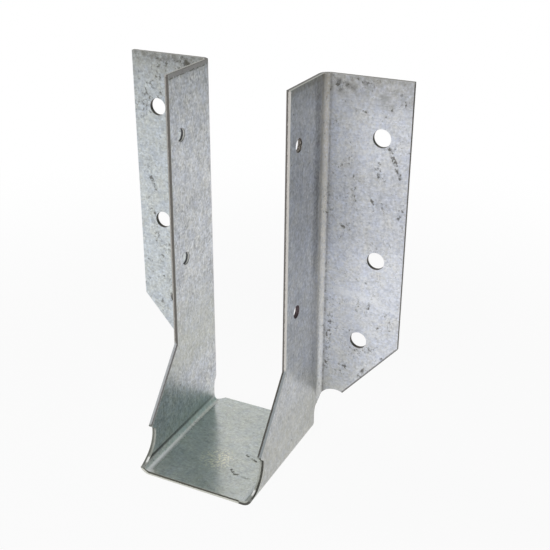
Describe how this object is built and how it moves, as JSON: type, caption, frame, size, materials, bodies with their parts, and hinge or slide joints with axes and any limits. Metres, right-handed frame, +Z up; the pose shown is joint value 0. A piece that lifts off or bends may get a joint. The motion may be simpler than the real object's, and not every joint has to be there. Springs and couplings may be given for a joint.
{
  "type": "joist hanger",
  "caption": "Face-mount joist hanger folded from one galvanised steel sheet: a U-shaped stirrup with outward nailing flanges, punched nail holes and relief notches.",
  "frame": {"origin": "centre of the outer box at its bottom: mid joist width, half way between the header face and the seat's front edge, on the underside of the seat", "axes": "+Z up along the side plates, +Y into the header, +X to the right seen from the joist side"},
  "size_m": [0.0998, 0.053, 0.1302],
  "materials": {
    "galvanised_sheet": "dull galvanised zinc with fine spangle"
  },
  "bodies": {
    "root": {"hanger": "galvanised_sheet"}
  },
  "joints": []
}
